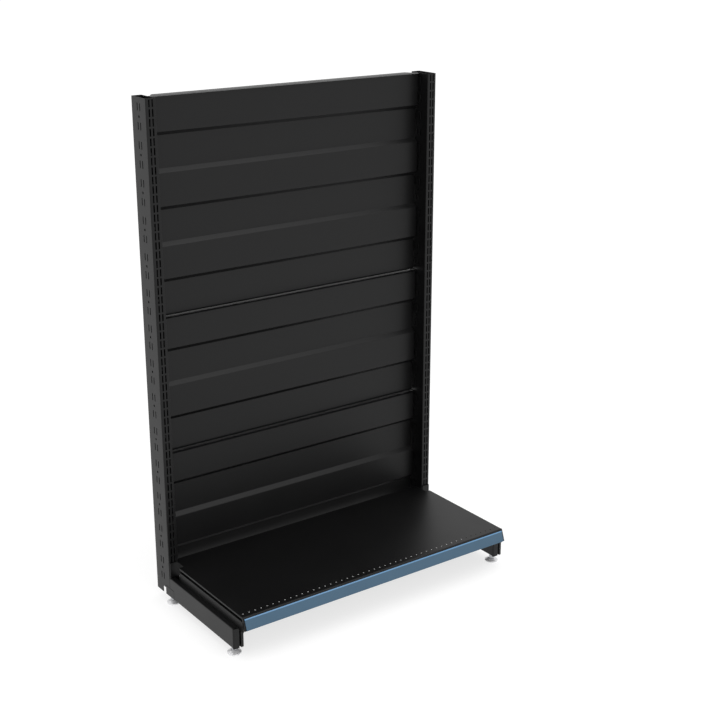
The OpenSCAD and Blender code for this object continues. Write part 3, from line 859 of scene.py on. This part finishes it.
def buildStrip():
    low, high = [Vector(corner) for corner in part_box("ticket_strip")]
    thick = strip["thick"]
    web = thick - strip["groove"]
    start = strip["start"]
    end = strip["end"]
    rim = strip["rim"]
    outline = [(start, strip["gap"]), (start, strip["gap"] + strip["tip"]), (start + strip["chamfer"], thick),
               (start + rim, thick), (start + rim + strip["ramp"], web), (end - rim - strip["ramp"], web),
               (end - rim, thick), (end, thick), (end, strip["gap"])]
    outline = [slopeSpot(down, out) for down, out in outline]
    outline = [spot + Vector((faceY, shelfHigh.z)) for spot in outline]
    mesh = swept("strip", outline, [low.x, high.x], alongX, closed=True)
    mesh = joined("strip", [mesh], outwards=True)
    piece = sheetMetal("ticket_strip_profile", mesh, 0, strip["edge"], strip["edgeSteps"])
    dressed(piece, "base_shelf", "blue_strip", ["ticket_strip"])


buildStrip()


foot = {"steps": 64, "disc": 10 * mm, "edge": 4 * mm, "hub": 7.5 * mm, "pin": 4.0 * mm,
        "socket": 4.06 * mm, "pinBottom": 3 * mm, "gap": 0.3 * mm, "core": 4.35 * mm, "thread": 5 * mm,
        "pitch": 1.5 * mm, "neck": 3 * mm, "neckDrop": 1.2 * mm, "threadEnd": 2.5 * mm,
        "threadStart": 1.2 * mm, "threadSteps": 20, "discSteps": 4, "pinSteps": 3,
        "discBends": [1 * mm, 1.4 * mm, 1.5 * mm, 0.6 * mm, 0.4 * mm, 0.4 * mm],
        "pinBends": [0.5 * mm, 0.2 * mm, 0.8 * mm, 0.9 * mm, 0.3 * mm, 0.6 * mm]}


def turned(name, outline, centre, steps):
    # closed outline of radius and height, turned about the vertical, with its own map of angle and path
    points = []
    faces = []
    path = [0.0]
    for here, there in zip(outline, outline[1:]):
        path.append(path[-1] + (there - here).length)
    rows = len(outline)
    for step in range(steps):
        angle = 2 * math.pi * step / steps
        for spot in outline:
            points.append((centre[0] + spot.x * math.cos(angle),
                           centre[1] + spot.x * math.sin(angle), spot.y))
    for step in range(steps):
        after = (step + 1) % steps
        for row in range(rows - 1):
            here = step * rows + row
            there = after * rows + row
            faces.append((here, there, there + 1, here + 1))
    mesh = meshOf(name, points, faces)
    layer = mesh.uv_layers.new(name="turned")
    for index, face in enumerate(mesh.polygons):
        step = index // (rows - 1)
        row = index % (rows - 1)
        corners = [(step, row), (step + 1, row), (step + 1, row + 1), (step, row + 1)]
        for loop, (turn, spot) in zip(face.loop_indices, corners):
            layer.data[loop].uv = (turn / steps, path[spot])
    return joined(name, [mesh], weld=0.002 * mm, outwards=True)


def buildFoot(name):
    low, high = [Vector(corner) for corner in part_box("foot_disc_" + name)]
    centre = ((low.x + high.x) / 2, (low.y + high.y) / 2)
    radius = (high.x - low.x) / 2
    floorZ = low.z
    discTop = floorZ + foot["disc"]
    outline = rounded([(0, floorZ), (radius, floorZ), (radius, floorZ + foot["edge"]),
                       (foot["hub"] + foot["neck"], discTop - foot["neckDrop"]), (foot["hub"], discTop),
                       (foot["socket"], discTop), (foot["socket"], floorZ + foot["pinBottom"]),
                       (0, floorZ + foot["pinBottom"])], foot["discBends"], foot["discSteps"])
    disc = placed("foot_plate_" + name, turned("disc", outline, centre, foot["steps"]))
    dressed(disc, "foot_" + name, "chrome", ["foot_disc_" + name])
    low, high = [Vector(corner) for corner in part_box("foot_spindle_" + name)]
    hubTop = footZ - foot["gap"]
    outline = rounded([(0, low.z), (foot["pin"], low.z), (foot["pin"], discTop + foot["gap"]),
                       (foot["hub"], discTop + foot["gap"]), (foot["hub"], hubTop), (foot["core"], hubTop),
                       (foot["core"], high.z), (0, high.z)], foot["pinBends"], foot["pinSteps"])
    core = turned("spindle", outline, centre, foot["steps"])
    length = high.z - hubTop - foot["threadEnd"]
    thread = grown("thread", screwThread, {
        "Turns": length / foot["pitch"], "Radius": foot["core"], "Length": length,
        "Ridge": foot["thread"] - foot["core"], "Steps": foot["threadSteps"],
        "Material": finishes["plated_steel"]})
    offset = (centre[0], centre[1], hubTop + foot["threadStart"])
    thread = joined("thread", [moved(thread, offset)], outwards=True)
    spindle = placed("foot_screw_" + name, joined("spindleWhole", [core, thread], weld=0.0))
    dressed(spindle, "screw_" + name, "plated_steel", ["foot_spindle_" + name])


for footName in ("front_left", "front_right", "rear_left", "rear_right"):
    buildFoot(footName)
print("feet turned")


# the nodes that no piece replaces keep their CAD shape
slotOf = {part["node"]: part["material_slot"] for part in frame["record"]["subparts"]}
for nodeName, node in frame["nodes"].items():
    for slot in node.material_slots:
        slot.material = finishes[slotOf[nodeName]]

stage = {"floor": 70.0, "world": 1.0, "key": 38.0, "keySize": (3, 3), "keyPlace": (0.6, -0.9, 4.0),
         "keyAim": (0, 0, 0.3)}


def buildFloor():
    size = stage["floor"]
    corners = [(-size, -size, 0), (size, -size, 0), (size, size, 0), (-size, size, 0)]
    mesh = meshOf("floor", corners, [(0, 1, 2, 3)])
    floor = placed("floor", mesh)
    floor.data.materials.append(finish("paleFloor", paleFloor))


def softLight(name, power, size, place, target):
    data = bpy.data.lights.new(name, "AREA")
    data.energy = power
    data.shape = "RECTANGLE"
    data.size = size[0]
    data.size_y = size[1]
    light = bpy.data.objects.new(name, data)
    bpy.context.scene.collection.objects.link(light)
    light.location = place
    light.rotation_euler = (Vector(target) - Vector(place)).to_track_quat("-Z", "Y").to_euler()


view = {"azimuth": -35.91, "elevation": 18.73, "distance": 3.75, "lens": 66.68,
        "aim": (0.0322, -0.0754, -0.0141)}


def buildCamera():
    data = bpy.data.cameras.new("camera")
    data.lens = view["lens"]
    data.sensor_width = 36.0
    camera = bpy.data.objects.new("camera", data)
    bpy.context.scene.collection.objects.link(camera)
    turn = math.radians(view["azimuth"])
    lift = math.radians(view["elevation"])
    back = Vector((math.sin(turn) * math.cos(lift), -math.cos(turn) * math.cos(lift), math.sin(lift)))
    centre = (Vector(cadBox[0]) + Vector(cadBox[1])) / 2
    camera.location = centre + Vector(view["aim"]) + back * view["distance"]
    camera.rotation_euler = (-back).to_track_quat("-Z", "Y").to_euler()
    bpy.context.scene.camera = camera


def buildWorld():
    world = bpy.data.worlds.new("studio")
    world.use_nodes = True
    tree = world.node_tree
    tree.nodes.clear()
    start = Flow(tree)
    white = start.add("ShaderNodeBackground", {}, {"Color": (1, 1, 1, 1), "Strength": stage["world"]})
    start.add("ShaderNodeOutputWorld", {}, {"Surface": white})
    bpy.context.scene.world = world
    bpy.context.scene.view_settings.view_transform = "Standard"


buildFloor()
buildWorld()
softLight("overhead", stage["key"], stage["keySize"], stage["keyPlace"], stage["keyAim"])
buildCamera()
print("stage set")
